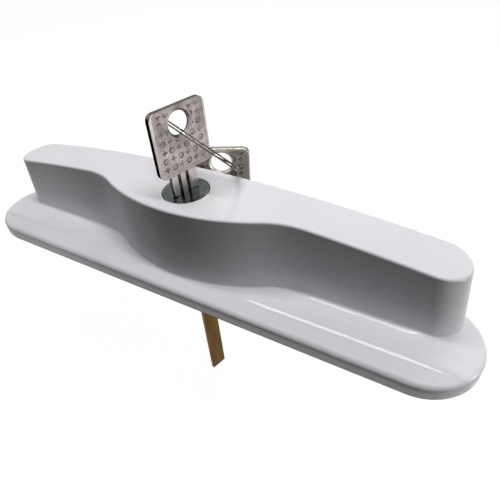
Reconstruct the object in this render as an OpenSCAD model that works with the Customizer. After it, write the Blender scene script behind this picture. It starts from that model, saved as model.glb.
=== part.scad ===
// Outside pull handle of a sliding patio door with a keyed pin cylinder, its key and a spare key on a ring.
// The door's face is z = 0, X runs along the handle, +Y points out of the grip's straight back,
// and the lock axis is x = y = 0.

/* [Base plate] */
// Length of the plate along the door
base_len = 216; // [212:1:240]
// Reach of the plate from the lock axis to its front edge
base_front = 21.5; // [20:0.5:26]
// Reach of the plate from the lock axis to its rear edge
base_rear = 16; // [15.5:0.5:17]
// Height of the plate's top above the door
base_top = 7.1; // [6.5:0.1:9]
// Radius of the plate's rounded top edge
edge_r = 1.8; // [1:0.1:2.4]
// Width of the plate's sloping margin
slope_w = 8; // [6:0.5:10]
// Drop of that margin, counted to the plate's edge
slope_drop = 0.8; // [0.4:0.1:1.2]
// Width of the rim around the hollow back
rim_w = 3; // [2.6:0.1:5]
// Thickness of the gasket under the rim
gasket_t = 0.8; // [0.5:0.1:1.5]
// Width of the gasket
gasket_w = 2.4; // [1.5:0.1:2.5]

/* [Grip] */
// Height of the grip's top at the lock axis
grip_top = 37.2; // [36:0.1:42]
// Length of the grip where it meets the plate
grip_len = 199; // [192:1:204]
// Inward lean of the grip's ends in degrees
end_lean = 6; // [0:1:8]
// Reach of the narrow grip from the lock axis to its front wall
grip_front = 2.2; // [1:0.1:4]
// Step from the plate's rear edge in to the grip's back
back_step = 0.3; // [0.2:0.1:0.6]
// Reach of the bulge from the lock axis to its front
bulge_front = 14.2; // [14:0.1:17]
// Radius of the bulge seen from above
bulge_r = 71; // [60:1:85]
// Radius of the hollow bends beside the bulge
bend_r = 33; // [20:1:40]
// Radius of the top's arch along the handle
arch_r = 690; // [500:10:1200]
// Wall of the hollow casting
wall = 2.6; // [2:0.1:2.8]

/* [Fixings] */
// Distance between the two fixing posts
post_gap = 168; // [160:1:172]
// Diameter of a fixing post
post_d = 10; // [8:0.5:11]
// Diameter of the tapped hole in a fixing post
tap_d = 4.2; // [3.3:0.1:5]
// Depth of the tapped hole
tap_depth = 18; // [10:1:22]
// Distance between the screws of the retaining plate
plate_screw_gap = 36; // [34:1:40]
// Diameter of those screws
plate_screw_d = 3; // [2.5:0.1:3.5]
// Length of those screws under the head
plate_screw_len = 9; // [6:1:14]
// Diameter of the posts that they enter
plate_post_d = 7.4; // [6:0.1:8]
// Thickness of the retaining plate
plate_t = 1.5; // [1:0.1:2]
// Width of the plate's arms
plate_arm_w = 9; // [8:0.5:10]

/* [Lock cylinder] */
// Diameter of the lock's round face
nose_d = 17; // [16:0.1:17.5]
// Depth of the face below the grip's top
face_recess = 0.5; // [0.2:0.1:1]
// Gap around the face in its hole
nose_gap = 0.3; // [0.1:0.05:0.5]
// Diameter of the housing below the face
shell_d = 18.4; // [18:0.1:18.6]
// Length of the housing
shell_len = 28; // [27.5:0.1:28.5]
// Gap around the housing in its boss
shell_gap = 0.2; // [0.1:0.05:0.3]
// Wall of the boss around the housing
boss_wall = 2; // [1.5:0.1:2.1]
// Width of the rib that holds the pins
rib_w = 8; // [6:0.1:9]
// Reach of that rib from the lock axis
rib_reach = 12.6; // [12.2:0.1:12.7]
// Diameter of the plug
plug_d = 12.4; // [12:0.1:12.8]
// Diameter of the plug's head
plug_head_d = 14; // [13.4:0.1:14.4]
// Thickness of the plug's head
plug_head_t = 1.6; // [1:0.1:2]
// Radial running gap around the plug
plug_gap = 0.05; // [0.02:0.01:0.1]

/* [Pins] */
// Distance from the face to the first pin
first_pin = 5.5; // [5:0.1:6]
// Distance from pin to pin
pin_pitch = 3.8; // [3.6:0.1:3.9]
// Diameter of the pins
pin_d = 2.9; // [2.4:0.1:3]
// Gap around a pin and between the pieces of its stack
pin_gap = 0.05; // [0.03:0.01:0.1]
// Length of a driver pin
driver_len = 2.7; // [2:0.1:3]
// Length of a pressed pin spring
spring_len = 2; // [1.5:0.1:2.2]
// Wall of a pressed spring
spring_wall = 0.4; // [0.3:0.05:0.6]

/* [Tail] */
// Diameter of the plug's threaded stub
stub_d = 9; // [8.8:0.1:9.4]
// Length of that stub
stub_len = 2.4; // [2:0.1:2.8]
// Outer diameter of the cap on the stub
cap_d = 14.4; // [13.6:0.1:14.8]
// Thickness of the cap's floor
cap_floor = 1.2; // [1:0.1:1.5]
// Height of the tailpiece's head inside the cap
tail_head_h = 1.7; // [1.2:0.1:2]
// Width of the tailpiece's head
tail_head_w = 8.7; // [8.2:0.1:8.8]
// Width of the tailpiece
tail_w = 7.5; // [6:0.1:7.8]
// Thickness of the tailpiece
tail_t = 1.6; // [1.2:0.1:2]
// Reach of the tailpiece behind the door's face
tail_reach = 67; // [40:1:90]
// Diameter of the pin that locks the cap
cap_pin_d = 1.6; // [1.2:0.1:1.7]
// Length of that pin
cap_pin_len = 3.4; // [3:0.1:4]
// Distance of that pin from the lock axis
cap_pin_at = 4.9; // [4.8:0.1:5]

/* [Key] */
// Width of the bow
bow_w = 22.4; // [20:0.1:24]
// Height of the bow
bow_h = 23.4; // [21:0.1:25]
// How far the bow's middle and its hole lie to the side of the blade's middle
bow_shift = 1.7; // [1.5:0.1:1.8]
// Radius of the bow's corners
bow_corner = 2.6; // [1:0.1:4]
// Thickness of the key
key_t = 2.2; // [1.8:0.1:2.3]
// Diameter of the hole in the bow
hole_d = 8.2; // [8.2:0.1:8.8]
// Bevel around the hole on both sides
hole_edge = 0.8; // [0.75:0.05:0.85]
// Distance from the bow's end to the hole's centre
hole_drop = 6.2; // [5.8:0.1:7]
// Width of the neck between bow and lock
neck_w = 10.6; // [9.4:0.1:11.5]
// Length of the neck
neck_len = 7.8; // [6:0.1:10]
// Width of the blade
blade_w = 8.8; // [8:0.1:9]
// Length of the blade inside the lock
blade_len = 27; // [25.5:0.1:27.4]
// Depth of the cut under the first pin
first_cut = 0.6; // [0.3:0.05:0.8]
// How much deeper each next cut is
cut_step = 0.45; // [0.3:0.05:0.5]
// Width of the milled grooves
groove_w = 1.2; // [0.8:0.1:1.4]
// Depth of the milled grooves
groove_depth = 0.5; // [0.3:0.05:0.6]
// Gap around the blade in the keyway
keyway_gap = 0.15; // [0.1:0.05:0.2]
// Gap between the key's shoulder and the lock's face
shoulder_gap = 0.3; // [0.2:0.05:0.5]
// Turn of the key from the place where it draws out, in degrees
key_turn = 15; // [10:1:15]

/* [Ring and spare key] */
// Diameter of the ring at the middle of its strip
ring_d = 30.5; // [30.2:0.1:31]
// Radial width of the strip
strip_w = 1.3; // [1:0.05:1.4]
// Thickness of the strip
strip_t = 0.55; // [0.4:0.05:0.6]
// Gap between the ring's two turns
turn_gap = 0.45; // [0.42:0.01:0.5]
// Lean of the ring from hanging straight down, in degrees
ring_lean = 45.5; // [45:0.5:47]
// Turn of the ring about the line through both keys, in degrees
ring_spin = 18; // [17.5:0.5:20]
// Place of the ring's step, in degrees from the key
split_at = 128; // [110:1:140]
// Height of the ring's strip above the lower rim of the key's hole
ring_seat = 1.5; // [1.4:0.05:1.6]
// Drop of the spare key's hole below the ring
spare_drop = 1.6; // [1.4:0.1:1.8]
// Turn of the spare key about the upright, in degrees
spare_yaw = 28; // [27.5:0.5:28.5]
// Sideways tilt of the spare key in degrees
spare_roll = 2; // [1:0.5:2]

/* [Hidden] */
$fn = 96;
over = 1; // how far a cut runs past the face it opens
bite = 0.02; // how far round faces that would only touch are set to cross

// Grip: its ends, the bulge and the bends, seen from above
grip_rear = base_rear - back_step;
grip_mid = (grip_rear - grip_front) / 2;
grip_r = (grip_rear + grip_front) / 2;
bulge_y = bulge_r - bulge_front;
bend_y = -grip_front - bend_r;
bend_x = sqrt(pow(bulge_r + bend_r - bite, 2) - pow(bulge_y - bend_y, 2));
meet = bulge_r / (bulge_r + bend_r);
meet_x = bend_x * meet;
meet_y = bulge_y + (bend_y - bulge_y) * meet;

// Heights in the lock
roof_z = grip_top - wall;
face_z = grip_top - face_recess;
shell_z = face_z - shell_len;
nose_z = roof_z - shell_gap;
plate_z = shell_z - plate_t;
stub_z = shell_z - stub_len;
cap_gap = 0.2;
cap_top_z = shell_z - cap_gap;
tail_top_z = stub_z - pin_gap;
tail_head_z = tail_top_z - tail_head_h;
cap_inside_z = tail_head_z - pin_gap;
cap_z = cap_inside_z - cap_floor;
cap_pin_z = cap_top_z - cap_pin_d / 2;
slot_gap = 0.15;

// Radii in the lock
bore_r = plug_d / 2 + plug_gap;
boss_r = shell_d / 2 + shell_gap + boss_wall;
chamber_r = pin_d / 2 + pin_gap;
driver_top = bore_r + pin_gap + driver_len;
spring_top = driver_top + pin_gap + spring_len;
plate_ring_w = 2.6;
plate_hole_r = cap_d / 2 + 2 * cap_gap;

// Screw heads of the retaining plate
screw_head_d = 1.85 * plate_screw_d;
screw_head_t = 0.7 * plate_screw_d;
screw_gap = 0.05;
cross_w = plate_screw_d / 5;

// Key: its heights are counted from the hole's centre, and the blade's cuts get deeper towards the tip
pin_count = 5;
bow_foot = hole_drop - bow_h;
shoulder_y = bow_foot - neck_len;
face_y = shoulder_y - shoulder_gap;
tip_y = face_y - blade_len;
tip_bevel = 2.4;
hole_z = face_z - face_y;
groove_front = [-2.2, 1.2];
groove_back = [-0.5];
function cut(i) = i < 0 ? 0 : first_cut + i * cut_step;
function pin_z(i) = face_z - first_pin - i * pin_pitch;

// Ring: it lies on the lower rim of the key's hole, and the spare key hangs on its far end
ring_r = ring_d / 2;
turn_step = strip_t + turn_gap;
step_span = 44;
strip_rings = 24 * 2;
strip_span = 720 - step_span;
ring_top_z = hole_z - hole_d / 2 + ring_seat;
ring_top = [bow_shift * sin(key_turn), bow_shift * cos(key_turn), ring_top_z];
ring_foot = ring_top + ring_d * [0, sin(ring_lean), -cos(ring_lean)];

module at_plug() {
  rotate([0, 0, -key_turn]) children();
}

module tube(d, h, z) {
  translate([0, 0, z]) cylinder(d = d, h = h);
}

// Plan with round ends, from y = -front to y = rear
module round_ended(len, front, rear) {
  r = (front + rear) / 2;
  translate([0, rear - r]) {
    square([len - 2 * r, 2 * r], center = true);
    for (side = [-1, 1]) translate([side * (len / 2 - r), 0]) circle(r);
  }
}

// Half section of the plate: a flat middle, a sloping margin and a round edge that touches it
module plate_section(r, h) {
  fall = atan(slope_drop / slope_w);
  z = h - tan(fall) * (slope_w - edge_r) - edge_r / cos(fall) + bite;
  polygon([[0, 0], [r, 0], [r, z], [r - edge_r + edge_r * sin(fall), z - bite + edge_r * cos(fall)],
           [r - slope_w, h], [0, h]]);
  translate([r - edge_r, z]) circle(edge_r);
}

module plate() {
  r = (base_front + base_rear) / 2;
  h = base_top - gasket_t;
  translate([0, base_rear - r, gasket_t]) {
    for (side = [-1, 1]) translate([side * (base_len / 2 - r), 0, 0]) rotate_extrude() plate_section(r, h);
    rotate([90, 0, 90]) linear_extrude(base_len - 2 * r, center = true) {
      plate_section(r, h);
      mirror([1, 0]) plate_section(r, h);
    }
  }
}

// Round middle of the bulge, set in by d from its outer face and as wide as twice reach
module bulge_round(d, reach) {
  intersection() {
    translate([0, bulge_y]) circle(bulge_r - d, $fn = 360);
    translate([-reach, -bulge_front]) square([2 * reach, bulge_front + grip_mid]);
  }
}

// Outer plan of the bulge with its hollow bends
module bulge_plan() {
  difference() {
    union() {
      polygon([[-bend_x, grip_mid], [bend_x, grip_mid], [bend_x, -grip_front], [meet_x, meet_y],
               [-meet_x, meet_y], [-bend_x, -grip_front]]);
      bulge_round(0, meet_x);
    }
    for (side = [-1, 1]) intersection() {
      translate([side * bend_x, bend_y]) circle(bend_r, $fn = 360);
      translate([side > 0 ? bend_x - bend_r : -bend_x, -bulge_front]) square([bend_r, bulge_front]);
    }
  }
}

// The grip from height z up to its arched top, set in by d from the outer faces and by drop from the top
module grip(d, z, drop) {
  reach = grip_len / 2 - grip_r;
  lean = tan(end_lean);
  foot = reach + (base_top - z) * lean;
  head = reach - (grip_top - base_top) * lean;
  intersection() {
    union() {
      translate([0, grip_rear - d, 0]) rotate([90, 0, 0]) linear_extrude(2 * (grip_r - d))
        polygon([[-foot, z], [foot, z], [head, grip_top], [-head, grip_top]]);
      for (side = [-1, 1]) translate([side * reach, grip_mid, base_top]) rotate([0, -side * end_lean, 0])
        cylinder(r = grip_r - d, h = 3 * grip_top, center = true);
      translate([0, 0, z]) linear_extrude(grip_top - z) {
        if (d > 0) bulge_round(d, bend_x);
        else bulge_plan();
      }
    }
    translate([0, 0, grip_top - drop - arch_r]) rotate([90, 0, 0])
      cylinder(r = arch_r, h = 4 * base_front, center = true, $fn = 720);
    translate([-base_len / 2, -base_front, z]) cube([base_len, base_front + base_rear, grip_top]);
  }
}

module hollow() {
  translate([0, 0, gasket_t - over]) linear_extrude(base_top - wall - gasket_t + over)
    round_ended(base_len - 2 * rim_w, base_front - rim_w, base_rear - rim_w);
  grip(wall, gasket_t - over, wall);
}

// Posts that hang from the roof: the lock's boss, the plate's posts and the fixing posts
module posts() {
  tube(2 * boss_r, grip_top - shell_z, shell_z);
  for (side = [-1, 1]) {
    translate([side * plate_screw_gap / 2, 0, 0]) tube(plate_post_d, grip_top - shell_z, shell_z);
    translate([side * post_gap / 2, grip_mid, 0]) tube(post_d, grip_top - gasket_t, gasket_t);
  }
}

module lock_pocket() {
  tube(nose_d + 2 * nose_gap, grip_top, shell_z);
  tube(shell_d + 2 * shell_gap, roof_z - shell_z + over, shell_z - over);
  translate([-rib_w / 2 - shell_gap, 0, shell_z - over])
    cube([rib_w + 2 * shell_gap, rib_reach + shell_gap, roof_z - shell_z + over]);
}

module handle_body() {
  color("whitesmoke") difference() {
    union() {
      difference() {
        union() {
          plate();
          grip(0, base_top / 2, 0);
        }
        hollow();
      }
      intersection() {
        posts();
        grip(wall / 2, gasket_t, wall / 2);
      }
    }
    lock_pocket();
    for (side = [-1, 1]) {
      translate([side * post_gap / 2, grip_mid, 0]) tube(tap_d, tap_depth + gasket_t, 0);
      translate([side * plate_screw_gap / 2, 0, 0])
        tube(plate_screw_d + 2 * screw_gap, plate_screw_len + over, shell_z - over);
    }
  }
}

module back_gasket() {
  inset = rim_w - gasket_w;
  color("dimgray") linear_extrude(gasket_t) difference() {
    round_ended(base_len - inset, base_front - inset / 2, base_rear - inset / 2);
    round_ended(base_len - inset - 2 * gasket_w, base_front - inset / 2 - gasket_w,
                base_rear - inset / 2 - gasket_w);
  }
}

module chamber(i) {
  translate([0, 0, pin_z(i)]) rotate([-90, 0, 0]) cylinder(r = chamber_r, h = rib_reach + over);
}

module cylinder_shell() {
  color("lightgray") difference() {
    union() {
      tube(nose_d, face_z - shell_z, shell_z);
      tube(shell_d, nose_z - shell_z, shell_z);
      translate([-rib_w / 2, 0, shell_z]) cube([rib_w, rib_reach, nose_z - shell_z]);
    }
    tube(2 * bore_r, shell_len + 2 * over, shell_z - over);
    tube(plug_head_d + 2 * plug_gap, plug_head_t + plug_gap + over, face_z - plug_head_t - plug_gap);
    for (i = [0 : pin_count - 1]) chamber(i);
  }
}

module driver_pin(i) {
  color("gold") difference() {
    translate([0, 0, pin_z(i)]) rotate([-90, 0, 0]) cylinder(d = pin_d, h = driver_top);
    tube(2 * (bore_r + pin_gap), pin_pitch, pin_z(i) - pin_pitch / 2);
  }
}

module pin_spring(i) {
  color("silver") translate([0, driver_top + pin_gap, pin_z(i)]) rotate([-90, 0, 0]) difference() {
    cylinder(d = pin_d - 2 * pin_gap, h = spring_len);
    translate([0, 0, -over]) cylinder(d = pin_d - 2 * pin_gap - 2 * spring_wall, h = spring_len + 2 * over);
  }
}

module chamber_cap(i) {
  color("gold") translate([0, spring_top + pin_gap, pin_z(i)]) rotate([-90, 0, 0])
    cylinder(d = pin_d, h = rib_reach - spring_top - 2 * pin_gap);
}

module retaining_plate() {
  color("silver") translate([0, 0, plate_z]) linear_extrude(plate_t) difference() {
    union() {
      circle(plate_hole_r + plate_ring_w);
      square([plate_screw_gap + plate_arm_w, plate_arm_w], center = true);
    }
    circle(plate_hole_r);
    for (side = [-1, 1]) translate([side * plate_screw_gap / 2, 0]) circle(plate_screw_d / 2 + slot_gap);
  }
}

module plate_screw(side) {
  color("silver") translate([side * plate_screw_gap / 2, 0, plate_z]) difference() {
    union() {
      tube(plate_screw_d, plate_screw_len, 0);
      tube(screw_head_d, screw_head_t, -screw_head_t);
    }
    for (turn = [0, 90]) rotate([0, 0, turn])
      translate([-plate_screw_d / 2, -cross_w / 2, -screw_head_t - over])
        cube([plate_screw_d, cross_w, screw_head_t / 2 + over]);
  }
}

module cylinder_plug() {
  color("lightgray") at_plug() difference() {
    union() {
      tube(plug_d, shell_len, shell_z);
      tube(plug_head_d, plug_head_t, face_z - plug_head_t);
      tube(stub_d, stub_len, stub_z);
    }
    translate([-key_t / 2 - keyway_gap, -blade_w / 2 - keyway_gap, face_z - blade_len - keyway_gap])
      cube([key_t + 2 * keyway_gap, blade_w + 2 * keyway_gap, blade_len + keyway_gap + over]);
    for (i = [0 : pin_count - 1]) chamber(i);
    translate([cap_pin_at, 0, 0]) tube(cap_pin_d + 2 * pin_gap, 2 * cap_pin_len, shell_z - over);
  }
}

module key_pin(i) {
  color("gold") at_plug() intersection() {
    translate([0, blade_w / 2 - cut(i) + pin_gap, pin_z(i)]) rotate([-90, 0, 0])
      cylinder(d = pin_d, h = plug_d);
    tube(plug_d - 2 * pin_gap, pin_pitch, pin_z(i) - pin_pitch / 2);
  }
}

module plug_cap() {
  color("gold") at_plug() difference() {
    tube(cap_d, cap_top_z - cap_z, cap_z);
    tube(stub_d + 2 * pin_gap, shell_len, cap_inside_z);
    translate([-tail_t / 2 - slot_gap, -tail_w / 2 - slot_gap, cap_z - over])
      cube([tail_t + 2 * slot_gap, tail_w + 2 * slot_gap, cap_floor + 2 * over]);
    translate([cap_pin_at, 0, 0]) tube(cap_pin_d + 2 * slot_gap, shell_len, cap_pin_z - cap_gap);
  }
}

module cap_pin() {
  color("silver") at_plug() translate([cap_pin_at, 0, 0]) tube(cap_pin_d, cap_pin_len, cap_pin_z);
}

module cap_pin_spring() {
  spring_z = cap_pin_z + cap_pin_len + pin_gap;
  color("silver") at_plug() translate([cap_pin_at, 0, 0])
    tube(cap_pin_d, shell_z - over + 2 * cap_pin_len - pin_gap - spring_z, spring_z);
}

module tailpiece() {
  color("goldenrod") at_plug() {
    translate([-tail_t / 2, -tail_head_w / 2, tail_head_z]) cube([tail_t, tail_head_w, tail_head_h]);
    translate([-tail_t / 2, -tail_w / 2, -tail_reach]) cube([tail_t, tail_w, tail_reach + tail_head_z]);
  }
}

module bow_plan() {
  difference() {
    translate([0, hole_drop - bow_h / 2]) {
      square([bow_w - 2 * bow_corner, bow_h], center = true);
      square([bow_w, bow_h - 2 * bow_corner], center = true);
      for (x = [-1, 1], y = [-1, 1]) translate([x * (bow_w / 2 - bow_corner), y * (bow_h / 2 - bow_corner)])
        circle(bow_corner);
    }
    circle(d = hole_d);
  }
}

// Neck and blade, with a stair of cuts on the +X edge, counted from the blade's middle
module blade_plan() {
  half = blade_w / 2;
  neck = neck_w / 2;
  root_y = bow_foot + bow_corner;
  deep = half - cut(pin_count - 1);
  stair = [for (i = [0 : pin_count - 1], step = [i - 1, i])
    [half - cut(step), face_y - first_pin - (i - 0.5) * pin_pitch]];
  polygon(concat([[neck, root_y], [neck, shoulder_y], [half, shoulder_y]], stair,
    [[deep, tip_y + tip_bevel], [deep - tip_bevel, tip_y], [tip_bevel - half, tip_y],
     [-half, tip_y + tip_bevel], [-half, shoulder_y], [-neck, shoulder_y], [-neck, root_y]]));
}

module grooves(places, side) {
  for (x = places) translate([x - bow_shift - groove_w / 2, side * key_t / 2 - groove_depth, tip_y - over])
    cube([groove_w, 2 * groove_depth, bow_foot - tip_y + over]);
}

// A plan laid upright, as thick as the key
module sheet() {
  rotate([90, 0, 0]) linear_extrude(key_t, center = true) children();
}

module key_shape() {
  color("silver") difference() {
    union() {
      sheet() bow_plan();
      sheet() translate([-bow_shift, 0]) blade_plan();
    }
    grooves(groove_front, -1);
    grooves(groove_back, 1);
    for (side = [-90, 90]) rotate([side, 0, 0]) translate([0, 0, key_t / 2 - hole_edge])
      cylinder(r1 = hole_d / 2, r2 = hole_d / 2 + hole_edge + over, h = hole_edge + over);
  }
}

module key() {
  translate([0, 0, hole_z]) rotate([0, 0, 90 - key_turn]) translate([bow_shift, 0, 0]) key_shape();
}

module spare_key() {
  translate(ring_foot) rotate([0, 0, spare_yaw]) rotate([0, spare_roll, 0])
    translate([0, 0, -spare_drop]) key_shape();
}

// Middle line of the strip: two flat turns joined by a step
function strip_angle(n) = split_at + step_span / 2 + n * strip_span / strip_rings;
function ramp(t) = t <= 0 ? 0 : t >= 1 ? 1 : t * t * (3 - 2 * t);
function strip_y(a) = turn_step * (ramp((a - split_at - 360 + step_span / 2) / step_span) - 0.5);
function ring_point(a, r, y) = [r * sin(a), y, r * cos(a) - ring_r];
strip_section = [[-strip_w / 2, 0], [-strip_w / 2 + strip_t / 4, strip_t / 2],
                 [strip_w / 2 - strip_t / 4, strip_t / 2], [strip_w / 2, 0],
                 [strip_w / 2 - strip_t / 4, -strip_t / 2], [-strip_w / 2 + strip_t / 4, -strip_t / 2]];
function strip_mid(a) = ring_point(a, ring_r, strip_y(a));
self_gap = min([for (n = [0 : strip_rings]) let (a = strip_angle(n))
  if (a + 360 <= strip_angle(strip_rings)) norm(strip_mid(a + 360) - strip_mid(a))]) - strip_t;
echo(ring_self_gap = self_gap);

module split_ring() {
  sides = len(strip_section);
  points = [for (n = [0 : strip_rings], s = strip_section)
    let (a = strip_angle(n)) ring_point(a, ring_r + s[0], strip_y(a) + s[1])];
  last = strip_rings * sides;
  skin = [for (n = [0 : strip_rings - 1], k = [0 : sides - 1])
    let (a = n * sides + k, b = n * sides + (k + 1) % sides)
    each [[a, b, a + sides], [b, b + sides, a + sides]]];
  caps = [for (k = [1 : sides - 2]) each [[0, k + 1, k], [last, last + k, last + k + 1]]];
  color("gainsboro") translate(ring_top) rotate([ring_lean, 0, 0]) rotate([0, 0, -ring_spin])
    polyhedron(points, concat(skin, caps));
}

handle_body();
back_gasket();
cylinder_shell();
for (i = [0 : pin_count - 1]) {
  driver_pin(i);
  pin_spring(i);
  chamber_cap(i);
  key_pin(i);
}
retaining_plate();
plate_screw(-1);  // plate_screw_left
plate_screw(1);  // plate_screw_right
cylinder_plug();
plug_cap();
cap_pin();
cap_pin_spring();
tailpiece();
key();
split_ring();
spare_key();
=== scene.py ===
import math

import bmesh
import bpy
from mathutils import Matrix, Vector

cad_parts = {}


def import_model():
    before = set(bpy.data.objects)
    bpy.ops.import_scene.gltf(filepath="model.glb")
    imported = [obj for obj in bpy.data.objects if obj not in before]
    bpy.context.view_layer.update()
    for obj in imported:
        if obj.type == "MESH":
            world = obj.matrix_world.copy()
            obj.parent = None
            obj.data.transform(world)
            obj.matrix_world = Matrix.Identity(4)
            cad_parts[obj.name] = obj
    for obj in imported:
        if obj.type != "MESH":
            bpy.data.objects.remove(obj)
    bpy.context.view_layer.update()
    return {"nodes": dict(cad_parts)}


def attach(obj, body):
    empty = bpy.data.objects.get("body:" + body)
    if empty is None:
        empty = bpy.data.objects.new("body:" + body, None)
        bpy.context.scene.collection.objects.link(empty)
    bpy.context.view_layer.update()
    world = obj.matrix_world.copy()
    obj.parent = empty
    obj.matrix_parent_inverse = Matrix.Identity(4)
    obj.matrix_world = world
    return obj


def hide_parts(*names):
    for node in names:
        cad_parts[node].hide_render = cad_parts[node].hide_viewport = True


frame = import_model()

MM = 0.001

# Places and sizes of the part, in millimetres and degrees, as its solids have them
BASE_TOP = 7.1
BASE_FRONT = 21.5
BASE_REAR = 16.0
BASE_LEN = 216.0
EDGE_R = 1.8
SLOPE_W = 8.0
LOCK_HOLE_R = 8.8
WALL_Y = -2.2
KEY_TURN = 15.0
BOW_SHIFT = 1.7
HOLE_Z = 62.0
KEY_T = 2.2
BOW_W = 22.4
BOW_TOP = 6.2
BOW_FOOT = -17.2
RING_D = 30.5
STRIP_W = 1.3
STRIP_T = 0.55
TURN_GAP = 0.45
RING_LEAN = 45.5
RING_SPIN = 18.0
SPLIT_AT = 128.0
STEP_SPAN = 44.0
RING_TOP_Z = 59.4
SPARE_DROP = 1.6
SPARE_YAW = 28.0
SPARE_ROLL = 2.0

# Roundings of the casting's edges
TOP_RIM = 0.8
FOOT_R = 0.65
HOLE_RIM = 0.6
FOOT_CLEAR = 0.2

# The low swell along the plate's front, and the lengths over which it starts and ends
SWELL_Y = -12.6
SWELL_FRONT = 2.6
SWELL_BACK = 4.0
SWELL_HIGH = 0.41
SWELL_FROM = 24
SWELL_TO = 106
SWELL_STARTS = 6
SWELL_ENDS = 5
SWELL_FRONT_CUTS = (1, 0.85, 0.7, 0.57, 0.45, 0.3, 0.15, 0)
SWELL_BACK_CUTS = (0.25, 0.5, 0.75, 1)
SWELL_BACK_FROM = 33
NARROW_TO = 20
NARROWEST = 0.4

# The narrow ramp at the foot of the grip's straight walls
RAMP_W = 1.65
RAMP_TILT = 22.8
RAMP_FROM = 45.0
RAMP_TO = 93.0
RAMP_TAPER = 4
RAMP_STRIP = 0.1
RAMP_INTO = 0.6

# The keys' sunk panels, the cells of their marks, and the widths of broken edges
PANEL_RIM = 1.0
PANEL_DEEP = 0.1
PANEL_CORNER = 1.8
CELL = 3.1
KEY_EDGE = 0.32
BAR_EDGE = 0.2
SMALL_EDGE = 0.12
PLUG_EDGE = 0.1

# Fields of the plate's top, steps of the ring, and limits by which points, faces and edges are told apart
FIELD = 4
FIELD_END = 103
CREASE_TO = 23
SPIN_STEP = 4
WELD = 0.002
ON_PLANE = 0.02
FLAT_TILT = 0.3
SHARP = 40
LEVEL_NORMAL = 0.9
UPRIGHT_NORMAL = 0.3
GRIP_TOP_FROM = 24
NEAR_HOLE = 0.3
NEAR_FOOT = 0.7
NEAR_PLATE = 1.2

# Camera, fitted to the photograph: its axes, its place in millimetres, and its focal length in pixels
CAMERA_RIGHT = (0.86778, 0.49224, -0.06819)
CAMERA_DOWN = (0.27205, -0.5854, -0.76373)
CAMERA_AHEAD = (-0.41586, 0.64421, -0.64192)
CAMERA_PLACE = (92.004, -103.444, 120.572)
FOCAL_PX = 438.74
PICTURE_PX = 500
SENSOR_W = 36

# Floor, world, and lamps: name, place, aim, width and height in metres, watts, and spread in degrees
FLOOR_Z = -68
FLOOR_SIZE = 6
FLOOR_GLOW = 0.98
SKY_GLOW = 1.0
SKY_FILL = 0.01
LAMPS = (
    ("top_lamp", (0.05, 0, 0.62), (0.05, 0, 0.03), 0.66, 0.05, 2.85, 180),
    ("back_lamp", (0.05, 0.55, 0.40), (0, 0, 0.03), 0.9, 0.5, 1.7, 180),
    ("left_lamp", (0.02, -0.11, 0.03), (-0.085, -0.006, 0.012), 0.03, 0.03, 0.00055, 30),
    ("right_lamp", (0.24, 0.015, 0.014), (0.1, 0, 0.012), 0.04, 0.03, 0.065, 180),
    ("front_lamp", (0, -0.12, 0.002), (0, -0.02, 0.002), 0.22, 0.004, 0.00048, 4),
)

# The band of a noise's values that is spread over a finish's range
NOISE_LOW = 0.3
NOISE_HIGH = 0.7


def turn(degrees, axis):
    return Matrix.Rotation(math.radians(degrees), 4, axis)


shift_way = math.radians(KEY_TURN)
lean_way = math.radians(RING_LEAN)
ring_top = Vector((BOW_SHIFT * math.sin(shift_way), BOW_SHIFT * math.cos(shift_way), RING_TOP_Z))
ring_foot = ring_top + RING_D * Vector((0, math.sin(lean_way), -math.cos(lean_way)))
key_place = Matrix.Translation((ring_top.x, ring_top.y, HOLE_Z)) @ turn(90 - KEY_TURN, "Z")
spare_place = (Matrix.Translation(ring_foot) @ turn(SPARE_YAW, "Z") @ turn(SPARE_ROLL, "Y")
               @ Matrix.Translation((0, 0, -SPARE_DROP)))
ring_place = Matrix.Translation(ring_top) @ turn(RING_LEAN, "X") @ turn(-RING_SPIN, "Z")


# Modelling helpers
def only(piece):
    if bpy.context.mode != "OBJECT":
        bpy.ops.object.mode_set(mode="OBJECT")
    bpy.ops.object.select_all(action="DESELECT")
    piece.select_set(True)
    bpy.context.view_layer.objects.active = piece


def edit(piece):
    only(piece)
    bpy.ops.object.mode_set(mode="EDIT")


def done():
    bpy.ops.object.mode_set(mode="OBJECT")


def blank_from(node, name):
    """A copy of a node's mesh with its triangles joined and its flat faces made whole."""
    only(frame["nodes"][node])
    bpy.ops.object.duplicate()
    piece = bpy.context.view_layer.objects.active
    piece.name = name
    piece.data.name = name
    piece.data.materials.clear()
    edit(piece)
    bpy.ops.mesh.customdata_custom_splitnormals_clear()
    bpy.ops.mesh.select_all(action="SELECT")
    bpy.ops.mesh.remove_doubles(threshold=WELD * MM)
    bpy.ops.mesh.dissolve_limited(angle_limit=math.radians(FLAT_TILT))
    done()
    return piece


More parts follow.
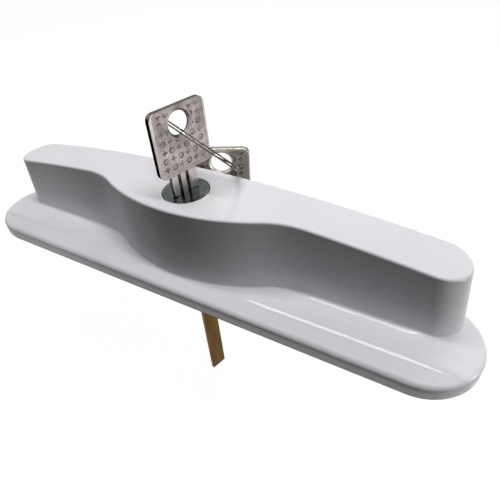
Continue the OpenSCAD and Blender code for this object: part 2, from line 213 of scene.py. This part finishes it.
def round_edges(piece, width, segments, share):
    """Bevel edges, each by its own share of the width, 0 to 1.

    share(middle, one, other, bend) gets the edge's middle in millimetres, the normals of its two faces,
    and the angle between them in degrees, which is negative in a hollow corner.
    """
    net = bmesh.new()
    net.from_mesh(piece.data)
    layer = net.edges.layers.float.new("bevel_weight_edge")
    for line in net.edges:
        if len(line.link_faces) == 2:
            middle = (line.verts[0].co + line.verts[1].co) / (2 * MM)
            one, other = (face.normal for face in line.link_faces)
            bend = math.degrees(line.calc_face_angle_signed(0))
            line[layer] = share(middle, one, other, bend)
    net.to_mesh(piece.data)
    net.free()
    only(piece)
    rounding = piece.modifiers.new("rounding", "BEVEL")
    rounding.width = width * MM
    rounding.segments = segments
    rounding.limit_method = "WEIGHT"
    rounding.use_clamp_overlap = False
    bpy.ops.object.modifier_apply(modifier=rounding.name)
    edit(piece)
    bpy.ops.mesh.select_all(action="SELECT")
    bpy.ops.mesh.remove_doubles(threshold=WELD * MM)
    done()


def smooth(piece, degrees=32):
    """Smooth shading that leaves the large faces flat and breaks at sharp edges."""
    only(piece)
    bpy.ops.object.shade_smooth_by_angle(angle=math.radians(degrees))
    even = piece.modifiers.new("even_shading", "WEIGHTED_NORMAL")
    even.keep_sharp = True
    bpy.ops.object.modifier_apply(modifier=even.name)


def pick_faces(piece, wanted):
    """Select, in edit mode, the faces that wanted(middle, normal) names, with the middle in millimetres."""
    bpy.context.tool_settings.mesh_select_mode = (False, False, True)
    net = bmesh.from_edit_mesh(piece.data)
    for face in net.faces:
        face.select_set(wanted(face.calc_center_median() / MM, face.normal))
    bmesh.update_edit_mesh(piece.data)


def pick_edges(piece, wanted):
    """Select, in edit mode, the edges that wanted(start, end) names, in millimetres."""
    bpy.context.tool_settings.mesh_select_mode = (False, True, False)
    net = bmesh.from_edit_mesh(piece.data)
    for line in net.edges:
        line.select_set(wanted(line.verts[0].co / MM, line.verts[1].co / MM))
    bmesh.update_edit_mesh(piece.data)


def put(piece, place):
    """Set a piece that was made about the origin in metres at a place given in millimetres."""
    only(piece)
    piece.matrix_world = Matrix.Translation(place.translation * MM) @ place.to_3x3().to_4x4()
    bpy.ops.object.transform_apply(location=True, rotation=True, scale=True)


def settle(piece, body, slot, material, *nodes):
    piece.data.materials.clear()
    piece.data.materials.append(material)
    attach(piece, body)
    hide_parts(*nodes)


# Materials
class Finish:
    """A material and its nodes, wired by name."""

    def __init__(self, name):
        self.material = bpy.data.materials.new(name)
        self.material.use_nodes = True
        self.tree = self.material.node_tree
        self.shader = self.tree.nodes["Principled BSDF"]
        self.place = self.tree.nodes.new("ShaderNodeTexCoord").outputs["Object"]

    def set(self, **values):
        for name, value in values.items():
            socket = name.replace("_", " ").title().replace("Ior", "IOR")
            self.shader.inputs[socket].default_value = value

    def node(self, kind, **values):
        made = self.tree.nodes.new(kind)
        for name, value in values.items():
            setattr(made, name, value)
        return made

    def feed(self, source, target):
        if isinstance(source, (int, float, tuple)):
            target.default_value = source
        else:
            self.tree.links.new(source, target)

    def math(self, operation, *values):
        made = self.node("ShaderNodeMath", operation=operation)
        for value, socket in zip(values, made.inputs):
            self.feed(value, socket)
        return made.outputs[0]

    def chain(self, operation, first, *others):
        for value in others:
            first = self.math(operation, first, value)
        return first

    def far(self, a, b):
        """The length of a flat vector."""
        return self.math("SQRT", self.math("ADD", self.math("MULTIPLY", a, a), self.math("MULTIPLY", b, b)))

    def noise(self, scale, detail=3, roughness=0.5, place=None):
        made = self.node("ShaderNodeTexNoise")
        made.inputs["Scale"].default_value = scale
        made.inputs["Detail"].default_value = detail
        made.inputs["Roughness"].default_value = roughness
        self.feed(place or self.place, made.inputs["Vector"])
        return made.outputs["Fac"]

    def mapped(self, location=(0, 0, 0), rotation=(0, 0, 0), scale=(1, 1, 1)):
        made = self.node("ShaderNodeMapping", vector_type="TEXTURE")
        made.inputs["Location"].default_value = location
        made.inputs["Rotation"].default_value = rotation
        made.inputs["Scale"].default_value = scale
        self.feed(self.place, made.inputs["Vector"])
        return made.outputs["Vector"]

    def split(self, vector):
        made = self.node("ShaderNodeSeparateXYZ")
        self.feed(vector, made.inputs[0])
        return tuple(made.outputs)

    def local(self, place):
        """X, Y and Z about a place, in millimetres."""
        middle = [v * MM for v in place.translation]
        return self.split(self.mapped(middle, place.to_euler("XYZ"), (MM, MM, MM)))

    def span(self, value, low, high, out_low=0.0, out_high=1.0):
        made = self.node("ShaderNodeMapRange")
        limits = {"From Min": low, "From Max": high, "To Min": out_low, "To Max": out_high}
        for name, number in limits.items():
            made.inputs[name].default_value = number
        self.feed(value, made.inputs["Value"])
        return made.outputs["Result"]

    def below(self, value, low, high):
        """1 up to low, and 0 from high on."""
        return self.span(value, low, high, 1.0, 0.0)

    def grain(self, value, out_low=0.0, out_high=1.0):
        return self.span(value, NOISE_LOW, NOISE_HIGH, out_low, out_high)

    def blend(self, share, a, b):
        made = self.node("ShaderNodeMix", data_type="RGBA")
        self.feed(share, made.inputs["Factor"])
        for value, name in ((a, "A"), (b, "B")):
            socket = next(s for s in made.inputs if s.name == name and s.type == "RGBA")
            self.feed(value + (1.0,) if isinstance(value, tuple) else value, socket)
        return next(s for s in made.outputs if s.type == "RGBA")

    def colour(self, value):
        self.feed(value, self.shader.inputs["Base Color"])

    def rough(self, value):
        self.feed(value, self.shader.inputs["Roughness"])

    def bump(self, height, depth, strength=1.0):
        made = self.node("ShaderNodeBump")
        made.inputs["Strength"].default_value = strength
        made.inputs["Distance"].default_value = depth * MM
        self.feed(height, made.inputs["Height"])
        self.feed(made.outputs["Normal"], self.shader.inputs["Normal"])


def powder_coat():
    f = Finish("satin_white_coat")
    f.colour(f.blend(f.grain(f.noise(35, 4)), (0.80, 0.783, 0.822), (0.84, 0.823, 0.857)))
    f.rough(f.grain(f.noise(420, 2), 0.34, 0.42))
    f.set(specular_ior_level=0.08, coat_weight=0.34, coat_roughness=0.12)
    f.bump(f.noise(1500, 2), 0.008, 0.4)
    return f.material


def plating(name, dark, pale, low, high, scale=300):
    f = Finish(name)
    line = f.noise(scale, 4, 0.6)
    f.colour(f.blend(f.grain(line), dark, pale))
    f.rough(f.grain(f.noise(scale * 1.7, 3, 0.6), low, high))
    f.set(metallic=1.0)
    f.bump(line, 0.01, 0.25)
    return f.material


def soft_seal():
    f = Finish("seal_foam")
    f.colour(f.blend(f.noise(600, 3), (0.035, 0.035, 0.038), (0.07, 0.07, 0.075)))
    f.rough(f.grain(f.noise(900, 2), 0.7, 0.9))
    f.bump(f.noise(1600, 3), 0.05, 0.5)
    return f.material


def small_marks(f, across, up):
    """Rings with a dot and crosses, by turns, in the cells of a square grid."""
    u = f.math("DIVIDE", across, CELL)
    v = f.math("DIVIDE", up, CELL)
    du, dv = (f.math("ABSOLUTE", f.math("SUBTRACT", f.math("FRACT", w), 0.5)) for w in (u, v))
    odd = f.math("PINGPONG", f.math("ADD", f.math("FLOOR", u), f.math("FLOOR", v)), 1.0)
    far = f.far(du, dv)
    ring = f.below(f.math("ABSOLUTE", f.math("SUBTRACT", far, 0.29)), 0.06, 0.14)
    dot = f.below(far, 0.06, 0.13)
    arm = f.below(f.math("MINIMUM", du, dv), 0.07, 0.14)
    cross = f.math("MULTIPLY", arm, f.below(f.math("MAXIMUM", du, dv), 0.32, 0.40))
    return f.math("ADD", f.math("MULTIPLY", f.math("MAXIMUM", ring, dot), odd),
                  f.math("MULTIPLY", cross, f.math("SUBTRACT", 1.0, odd)))


def patterned_nickel(name, place, dark, pale, wear_and_sheen_colour, edge_shade_dark, edge_shade_pale, top_edge_shade):
    """Nickel with small marks on the bow's panel. Edges cut by the saw are painted near black as shade,
    upward edges keeping only a share of it; the rim is paler from wear and a painted highlight, the foot
    paler as painted reflection, the blade paler, and painted shade lies in the milled grooves."""
    f = Finish(name)
    across, through, up = f.local(place)
    normal = f.node("ShaderNodeTexCoord").outputs["Normal"]
    tilt = f.split(normal)[2]
    wear = f.noise(330, 5, 0.65)
    plain = f.blend(f.grain(f.noise(240, 5, 0.65)), dark, pale)

    # The marks, inside the panel and away from the hole
    lower_edge = f.math("MINIMUM", f.math("SUBTRACT", BOW_W / 2, f.math("ABSOLUTE", across)),
                        f.math("SUBTRACT", up, BOW_FOOT))
    edge = f.math("MINIMUM", lower_edge, f.math("SUBTRACT", BOW_TOP, up))
    panel = f.math("MULTIPLY", f.span(edge, PANEL_RIM + 0.3, PANEL_RIM + 0.6),
                   f.span(f.far(across, up), 5.2, 5.5))
    cut = f.chain("MULTIPLY", small_marks(f, across, up), panel, f.span(wear, 0.32, 0.60, 0.15, 1.0))

    # The rim paler from wear and a painted highlight, the foot paler as painted reflection, and the blade
    # paler
    rim = f.span(lower_edge, PANEL_RIM - 0.1, PANEL_RIM + 0.2, 0.45, 0.0)
    foot = f.span(up, -2.0, -9.0, 0.0, 0.4)
    blade = f.span(up, BOW_FOOT + 0.2, BOW_FOOT - 0.4)
    wear_and_sheen = f.chain("MAXIMUM", rim, foot, f.math("MULTIPLY", blade, 0.9))
    printed = f.blend(cut, f.blend(wear_and_sheen, plain, wear_and_sheen_colour), (0.10, 0.072, 0.068))

    # The edges cut by the saw, painted near black as shade; upward edges keep only a share of it, the
    # blade's edges a middle tone
    facing = f.node("ShaderNodeVectorMath", operation="DOT_PRODUCT")
    f.feed(normal, facing.inputs[0])
    facing.inputs[1].default_value = place.to_3x3() @ Vector((0, 1, 0))
    side = f.math("MULTIPLY", f.below(f.math("ABSOLUTE", facing.outputs["Value"]), 0.30, 0.62),
                  f.span(tilt, 0.45, 0.8, 1.0, top_edge_shade))
    edge_shade = f.blend(f.noise(700, 3, 0.6), edge_shade_dark, edge_shade_pale)
    edge_shade = f.blend(blade, edge_shade, f.blend(0.5, plain, (0.04, 0.036, 0.034)))

    # Painted shade in the milled grooves of the blade, near black in patches
    deep = f.below(f.math("ABSOLUTE", through), KEY_T / 2 - 0.35, KEY_T / 2 - 0.2)
    beside = f.below(f.math("ABSOLUTE", f.math("ADD", across, BOW_SHIFT)), 3.1, 3.4)
    upright = f.below(f.math("ABSOLUTE", tilt), 0.5, 0.7)
    groove_shade = f.chain("MULTIPLY", deep, beside, blade, upright, f.span(wear, 0.3, 0.6, 0.7, 1.0))

    f.colour(f.blend(groove_shade, f.blend(side, printed, edge_shade), (0.012, 0.011, 0.010)))
    # Their reflections darkened by the same painted shade
    f.feed(f.blend(side, (1.0, 1.0, 1.0), edge_shade), f.shader.inputs["Specular Tint"])
    f.rough(f.math("ADD", f.grain(f.noise(500, 3), 0.26, 0.38), f.math("MULTIPLY", cut, 0.2)))
    f.set(metallic=1.0)
    f.bump(f.math("SUBTRACT", f.math("MULTIPLY", wear, 0.25), cut), 0.05, 0.5)
    return f.material


def wound_steel(name, place):
    """Bright strip steel, coloured dark as painted reflection,
    and near black as painted shade where the ring's two turns face each other.
    """
    f = Finish(name)
    through = f.local(place)[1]
    # Painted shade between the two turns
    gap_shade = f.below(f.math("ABSOLUTE", through), TURN_GAP / 2 + 0.06, TURN_GAP / 2 + 0.16)
    drawn = f.blend(f.grain(f.noise(900, 4, 0.6)), (0.04, 0.039, 0.036), (0.17, 0.165, 0.155))
    f.colour(f.blend(gap_shade, drawn, (0.02, 0.02, 0.02)))
    f.rough(f.grain(f.noise(1200, 3), 0.10, 0.20))
    f.set(metallic=1.0)
    f.bump(f.noise(2200, 2), 0.004, 0.3)
    return f.material


def rolled_brass_painted_dark():
    """Brass with streaks along the bar and patches of an older tone, its colours kept dark as painted shade.
    """
    f = Finish("rolled_brass_painted_dark")
    drawn = f.mapped(scale=(1, 1, 12))
    streak = f.noise(900, 4, 0.6, drawn)
    aged = f.span(f.noise(170, 3, 0.55, drawn), 0.38, 0.62)
    # Both tones kept dark, as painted shade
    dark = f.blend(aged, (0.062, 0.028, 0.010), (0.060, 0.040, 0.007))
    pale = f.blend(aged, (0.150, 0.067, 0.024), (0.168, 0.114, 0.024))
    f.colour(f.blend(f.grain(streak), dark, pale))
    f.rough(f.grain(f.noise(300, 3, 0.5, drawn), 0.30, 0.45))
    f.set(metallic=1.0, specular_tint=(1.0, 0.86, 0.74, 1.0))
    f.bump(streak, 0.01, 0.3)
    return f.material


coat = powder_coat()
seal = soft_seal()
# The lock's face plating, coloured nearly black as painted shade
lock_plating_painted_dark = plating("lock_plating", (0.053, 0.064, 0.064), (0.105, 0.12, 0.12), 0.08, 0.16)
steel = plating("zinc_plated_steel", (0.50, 0.50, 0.50), (0.62, 0.62, 0.61), 0.30, 0.45)
strip_steel = wound_steel("strip_steel_painted_dark", ring_place)
turned_brass = plating("turned_brass", (0.55, 0.40, 0.17), (0.68, 0.51, 0.25), 0.22, 0.34)
tail_brass = rolled_brass_painted_dark()
# The key, with its edges painted near black as shade and its upward edges keeping half of it
key_nickel = patterned_nickel(
    "patterned_nickel_key", key_place, dark=(0.138, 0.118, 0.112), pale=(0.414, 0.373, 0.359),
    wear_and_sheen_colour=(0.78, 0.71, 0.685), edge_shade_dark=(0.005, 0.005, 0.005), edge_shade_pale=(0.02, 0.02, 0.02), top_edge_shade=0.5)
# The spare: a paler copy of the key's nickel, painted light, with its edges far less dark
spare_nickel_painted_pale = patterned_nickel(
    "patterned_nickel_spare", spare_place, dark=(0.40, 0.375, 0.32), pale=(0.78, 0.74, 0.66),
    wear_and_sheen_colour=(0.80, 0.76, 0.68), edge_shade_dark=(0.12, 0.115, 0.10), edge_shade_pale=(0.42, 0.40, 0.35), top_edge_shade=1.0)


# The casting: the solid's own faces with its edges rounded as cast
def cut_plate(piece):
    """Cut the plate's top into short fields, and finer strips where its low swell and its ramps run."""
    def cut(place, way, wanted):
        pick_faces(piece, lambda p, n: (n.z > LEVEL_NORMAL and abs(p.z - BASE_TOP) < NEAR_PLATE
                                        and wanted(p)))
        bpy.ops.mesh.bisect(plane_co=Vector(place) * MM, plane_no=way)

    def cut_at_y(y, wanted):
        cut((0, y, 0), (0, 1, 0), wanted)

    edit(piece)
    for x in range(-FIELD_END, FIELD_END + 1, FIELD):
        cut((x, 0, 0), (1, 0, 0), lambda p: True)
    for step in SWELL_FRONT_CUTS:
        cut_at_y(SWELL_Y - step * SWELL_FRONT, lambda p: abs(p.x) > SWELL_FROM)
    for step in SWELL_BACK_CUTS:
        cut_at_y(SWELL_Y + step * SWELL_BACK, lambda p: abs(p.x) > SWELL_BACK_FROM)
    for y in (WALL_Y - RAMP_W - RAMP_STRIP, WALL_Y - RAMP_W):
        cut_at_y(y, lambda p: RAMP_FROM < abs(p.x) < RAMP_TO and SWELL_Y < p.y < WALL_Y)
    crease = SLOPE_W - BASE_FRONT
    pick_edges(piece, lambda a, b: max(abs(a.x), abs(b.x)) < CREASE_TO and all(
        abs(p.y - crease) < ON_PLANE and abs(p.z - BASE_TOP) < ON_PLANE for p in (a, b)))
    bpy.ops.mesh.dissolve_edges(use_verts=True)
    done()


def raise_foot(piece):
    """The narrow ramp at the foot of the grip's straight front walls."""
    for point in piece.data.vertices:
        x, y, z = point.co / MM
        up = min(y - WALL_Y, 0) + RAMP_W
        along = min((abs(x) - RAMP_FROM) / RAMP_TAPER, (RAMP_TO - abs(x)) / RAMP_TAPER, 1)
        if up > 0 and y < WALL_Y + RAMP_INTO and along > 0 and abs(z - BASE_TOP) < ON_PLANE:
            point.co.z += up * math.tan(math.radians(RAMP_TILT)) * along * MM


def raise_swell(piece):
    """The low swell along the front of the plate, on both sides of the bulge."""
    for point in piece.data.vertices:
        x, y, z = point.co / MM
        reach = SWELL_FRONT
        if y >= SWELL_Y:
            reach = SWELL_BACK * min(max((abs(x) - NARROW_TO) / NARROW_TO, NARROWEST), 1)
        across = 1 - ((y - SWELL_Y) / reach) ** 2
        along = min((abs(x) - SWELL_FROM) / SWELL_STARTS, (SWELL_TO - abs(x)) / SWELL_ENDS, 1)
        if across > 0 and along > 0 and abs(z - BASE_TOP) < NEAR_PLATE:
            point.co.z += SWELL_HIGH * across ** 2 * along * MM


def casting():
    piece = blank_from("handle_body", "handle_casting")
    base_r = (BASE_FRONT + BASE_REAR) / 2

    def margin(p):
        """How far a point of the plate's top lies inside its rounded edge."""
        reach = max(abs(p.x) - (BASE_LEN / 2 - base_r), 0)
        return base_r - EDGE_R - math.hypot(reach, p.y - (BASE_REAR - base_r))

    def share(p, one, other, bend):
        level = max(one.z, other.z) > LEVEL_NORMAL
        upright = min(abs(one.z), abs(other.z)) < UPRIGHT_NORMAL
        if bend > SHARP and p.z > GRIP_TOP_FROM and level and upright:
            return HOLE_RIM / TOP_RIM if math.hypot(p.x, p.y) < LOCK_HOLE_R + NEAR_HOLE else 1.0
        if bend < -SHARP and abs(p.z - BASE_TOP) < NEAR_FOOT and level and upright:
            return min(max(margin(p) / (FOOT_R + FOOT_CLEAR), 0.0), 1.0) * FOOT_R / TOP_RIM
        return 0.0

    cut_plate(piece)
    raise_foot(piece)
    round_edges(piece, TOP_RIM, 6, share)
    raise_swell(piece)
    smooth(piece)
    settle(piece, "handle", "white_coat", coat, "handle_body")


# Keys: the solid's own faces with broken edges and a sunk panel on each side of the bow
def sink_panel(piece, place, side):
    bpy.ops.object.select_all(action="DESELECT")
    bpy.ops.mesh.primitive_cube_add(size=1)
    cutter = bpy.context.view_layer.objects.active
    edit(cutter)
    bpy.ops.mesh.select_all(action="SELECT")
    bpy.ops.transform.resize(value=((BOW_W - 2 * PANEL_RIM) * MM, 2 * PANEL_DEEP * MM,
                                    (BOW_TOP - BOW_FOOT - 2 * PANEL_RIM) * MM))
    pick_edges(cutter, lambda a, b: abs(a.y - b.y) > PANEL_DEEP)
    bpy.ops.mesh.bevel(offset=PANEL_CORNER * MM, segments=5)
    done()
    put(cutter, place @ Matrix.Translation((0, side * KEY_T / 2, (BOW_TOP + BOW_FOOT) / 2)))
    only(piece)
    sinking = piece.modifiers.new("sinking", "BOOLEAN")
    sinking.operation = "DIFFERENCE"
    sinking.solver = "EXACT"
    sinking.object = cutter
    bpy.ops.object.modifier_apply(modifier=sinking.name)
    bpy.data.objects.remove(cutter)


def key_piece(node, name, body, material, place):
    piece = blank_from(node, name)
    for side in (-1, 1):
        sink_panel(piece, place, side)
    back = place.inverted()

    def share(p, one, other, bend):
        q = back @ p
        inside = abs(q.x) < BOW_W / 2 - PANEL_RIM / 2 and BOW_FOOT < q.z < BOW_TOP - PANEL_RIM / 2
        return 1.0 if bend > SHARP and not inside else 0.0

    round_edges(piece, KEY_EDGE, 3, share)
    smooth(piece)
    settle(piece, body, "key_nickel", material, node)


# The split ring: one strip spun through two flat turns with a step between them
def wound_ring():
    bpy.ops.object.select_all(action="DESELECT")
    bpy.ops.mesh.primitive_plane_add(size=1)
    piece = bpy.context.view_layer.objects.active
    piece.name = "wound_ring"
    piece.data.name = "wound_ring"
    edit(piece)
    bpy.ops.mesh.select_all(action="SELECT")
    bpy.ops.transform.resize(value=(STRIP_W * MM, STRIP_T * MM, 1))
    bpy.ops.mesh.bevel(offset=STRIP_T / 3 * MM, segments=3, affect="VERTICES")
    bpy.ops.mesh.select_all(action="SELECT")
    bpy.ops.mesh.delete(type="ONLY_FACE")
    bpy.ops.mesh.select_all(action="SELECT")
    bpy.ops.transform.rotate(value=math.radians(90), orient_axis="Y", center_override=(0, 0, 0))
    rise = STRIP_T + TURN_GAP
    bpy.ops.transform.translate(value=(0, -rise / 2 * MM, 0))
    flat = 360 - STEP_SPAN
    count = int(STEP_SPAN / SPIN_STEP)

    def spin(steps, degrees):
        bpy.ops.mesh.spin(steps=steps, angle=math.radians(degrees), center=(0, 0, -RING_D / 2 * MM),
                          axis=(0, 1, 0))

    spin(int(flat / SPIN_STEP), flat)
    for k in range(count):
        low, high = (s * s * (3 - 2 * s) for s in (k / count, (k + 1) / count))
        spin(1, SPIN_STEP)
        bpy.ops.transform.translate(value=(0, (high - low) * rise * MM, 0))
    spin(int(flat / SPIN_STEP), flat)
    bpy.ops.mesh.select_all(action="SELECT")
    bpy.ops.mesh.fill_holes(sides=0)
    bpy.ops.mesh.select_all(action="SELECT")
    bpy.ops.mesh.normals_make_consistent(inside=False)
    done()
    about = Matrix.Translation((0, 0, -RING_D / 2))
    put(piece, ring_place @ about @ turn(SPLIT_AT + STEP_SPAN / 2, "Y") @ about.inverted())
    smooth(piece, 40)
    settle(piece, "ring", "ring_steel", strip_steel, "split_ring")


# Pieces whose sharp edges are broken
def broken_edges(node, name, body, slot, material, width):
    piece = blank_from(node, name)
    round_edges(piece, width, 2, lambda p, one, other, bend: 1.0 if bend > SHARP else 0.0)
    smooth(piece)
    settle(piece, body, slot, material, node)


casting()
key_piece("key", "key_blank", "key", key_nickel, key_place)
key_piece("spare_key", "spare_key_blank", "spare", spare_nickel_painted_pale, spare_place)
wound_ring()
broken_edges("tailpiece", "tail_bar", "plug", "tail_brass", tail_brass, BAR_EDGE)
broken_edges("back_gasket", "gasket_strip", "handle", "seal", seal, BAR_EDGE)
broken_edges("retaining_plate", "cylinder_plate", "handle", "plate_steel", steel, BAR_EDGE)
broken_edges("plug_cap", "plug_end_cap", "plug", "pin_brass", turned_brass, BAR_EDGE)
for side in ("left", "right"):
    broken_edges("plate_screw_" + side, "plate_bolt_" + side, "handle", "plate_steel", steel, SMALL_EDGE)
broken_edges("cylinder_shell", "lock_housing", "handle", "lock_plating", lock_plating_painted_dark, SMALL_EDGE)
broken_edges("cylinder_plug", "lock_plug", "plug", "lock_plating", lock_plating_painted_dark, PLUG_EDGE)

# The nodes that stay as they are
kept_finish = {"driver_pin": turned_brass, "key_pin": turned_brass, "chamber_cap": turned_brass,
               "pin_spring": steel, "cap_pin": steel, "cap_pin_spring": steel}
for name, node in frame["nodes"].items():
    finish = kept_finish.get(name.rstrip("0123456789_"))
    if finish:
        node.data.materials.clear()
        node.data.materials.append(finish)


# Camera, floor, world and lamps
def camera():
    cam = bpy.data.cameras.new("camera")
    cam.sensor_width = SENSOR_W
    cam.lens = FOCAL_PX / PICTURE_PX * SENSOR_W
    cam.clip_start = 0.01
    cam.clip_end = 20
    holder = bpy.data.objects.new("camera", cam)
    bpy.context.scene.collection.objects.link(holder)
    axes = (Vector(CAMERA_RIGHT), -Vector(CAMERA_DOWN), -Vector(CAMERA_AHEAD))
    place = Matrix(axes).transposed().to_4x4()
    place.translation = Vector(CAMERA_PLACE) * MM
    holder.matrix_world = place
    bpy.context.scene.camera = holder


def seen_share(tree):
    """1 for what the camera sees, straight, mirrored or through a piece, and 0 for what only gives light."""
    path = tree.nodes.new("ShaderNodeLightPath")
    seen = path.outputs["Is Camera Ray"]
    for name in ("Is Glossy Ray", "Is Transmission Ray"):
        larger = tree.nodes.new("ShaderNodeMath")
        larger.operation = "MAXIMUM"
        tree.links.new(seen, larger.inputs[0])
        tree.links.new(path.outputs[name], larger.inputs[1])
        seen = larger.outputs[0]
    return seen


def floor():
    bpy.ops.object.select_all(action="DESELECT")
    bpy.ops.mesh.primitive_plane_add(size=FLOOR_SIZE, location=(0, 0, FLOOR_Z * MM))
    plane = bpy.context.view_layer.objects.active
    plane.name = "floor"
    f = Finish("pale_floor")
    f.colour((0.08, 0.08, 0.08, 1.0))
    f.set(roughness=0.9, specular_ior_level=0.0, emission_color=(1.0, 1.0, 1.0, 1.0))
    f.feed(f.math("MULTIPLY", seen_share(f.tree), FLOOR_GLOW), f.shader.inputs["Emission Strength"])
    plane.data.materials.append(f.material)


def world():
    sky = bpy.data.worlds.new("studio")
    bpy.context.scene.world = sky
    sky.use_nodes = True
    tree = sky.node_tree
    both = tree.nodes.new("ShaderNodeMixShader")
    tree.links.new(seen_share(tree), both.inputs["Fac"])
    fill = tree.nodes["Background"]
    shown = tree.nodes.new("ShaderNodeBackground")
    for k, (made, strength) in enumerate(((fill, SKY_FILL), (shown, SKY_GLOW)), start=1):
        made.inputs["Color"].default_value = (1, 1, 1, 1)
        made.inputs["Strength"].default_value = strength
        tree.links.new(made.outputs[0], both.inputs[k])
    tree.links.new(both.outputs[0], tree.nodes["World Output"].inputs["Surface"])


def lamp(name, place, aim, width, height, watts, spread):
    data = bpy.data.lights.new(name, "AREA")
    data.shape = "RECTANGLE"
    data.size = width
    data.size_y = height
    data.energy = watts
    data.spread = math.radians(spread)
    holder = bpy.data.objects.new(name, data)
    bpy.context.scene.collection.objects.link(holder)
    way = Vector(aim) - Vector(place)
    facing = way.to_track_quat("-Z", "Y").to_matrix().to_4x4()
    holder.matrix_world = Matrix.Translation(place) @ facing


camera()
floor()
world()
for row in LAMPS:
    lamp(*row)
bpy.context.scene.view_settings.view_transform = "Standard"
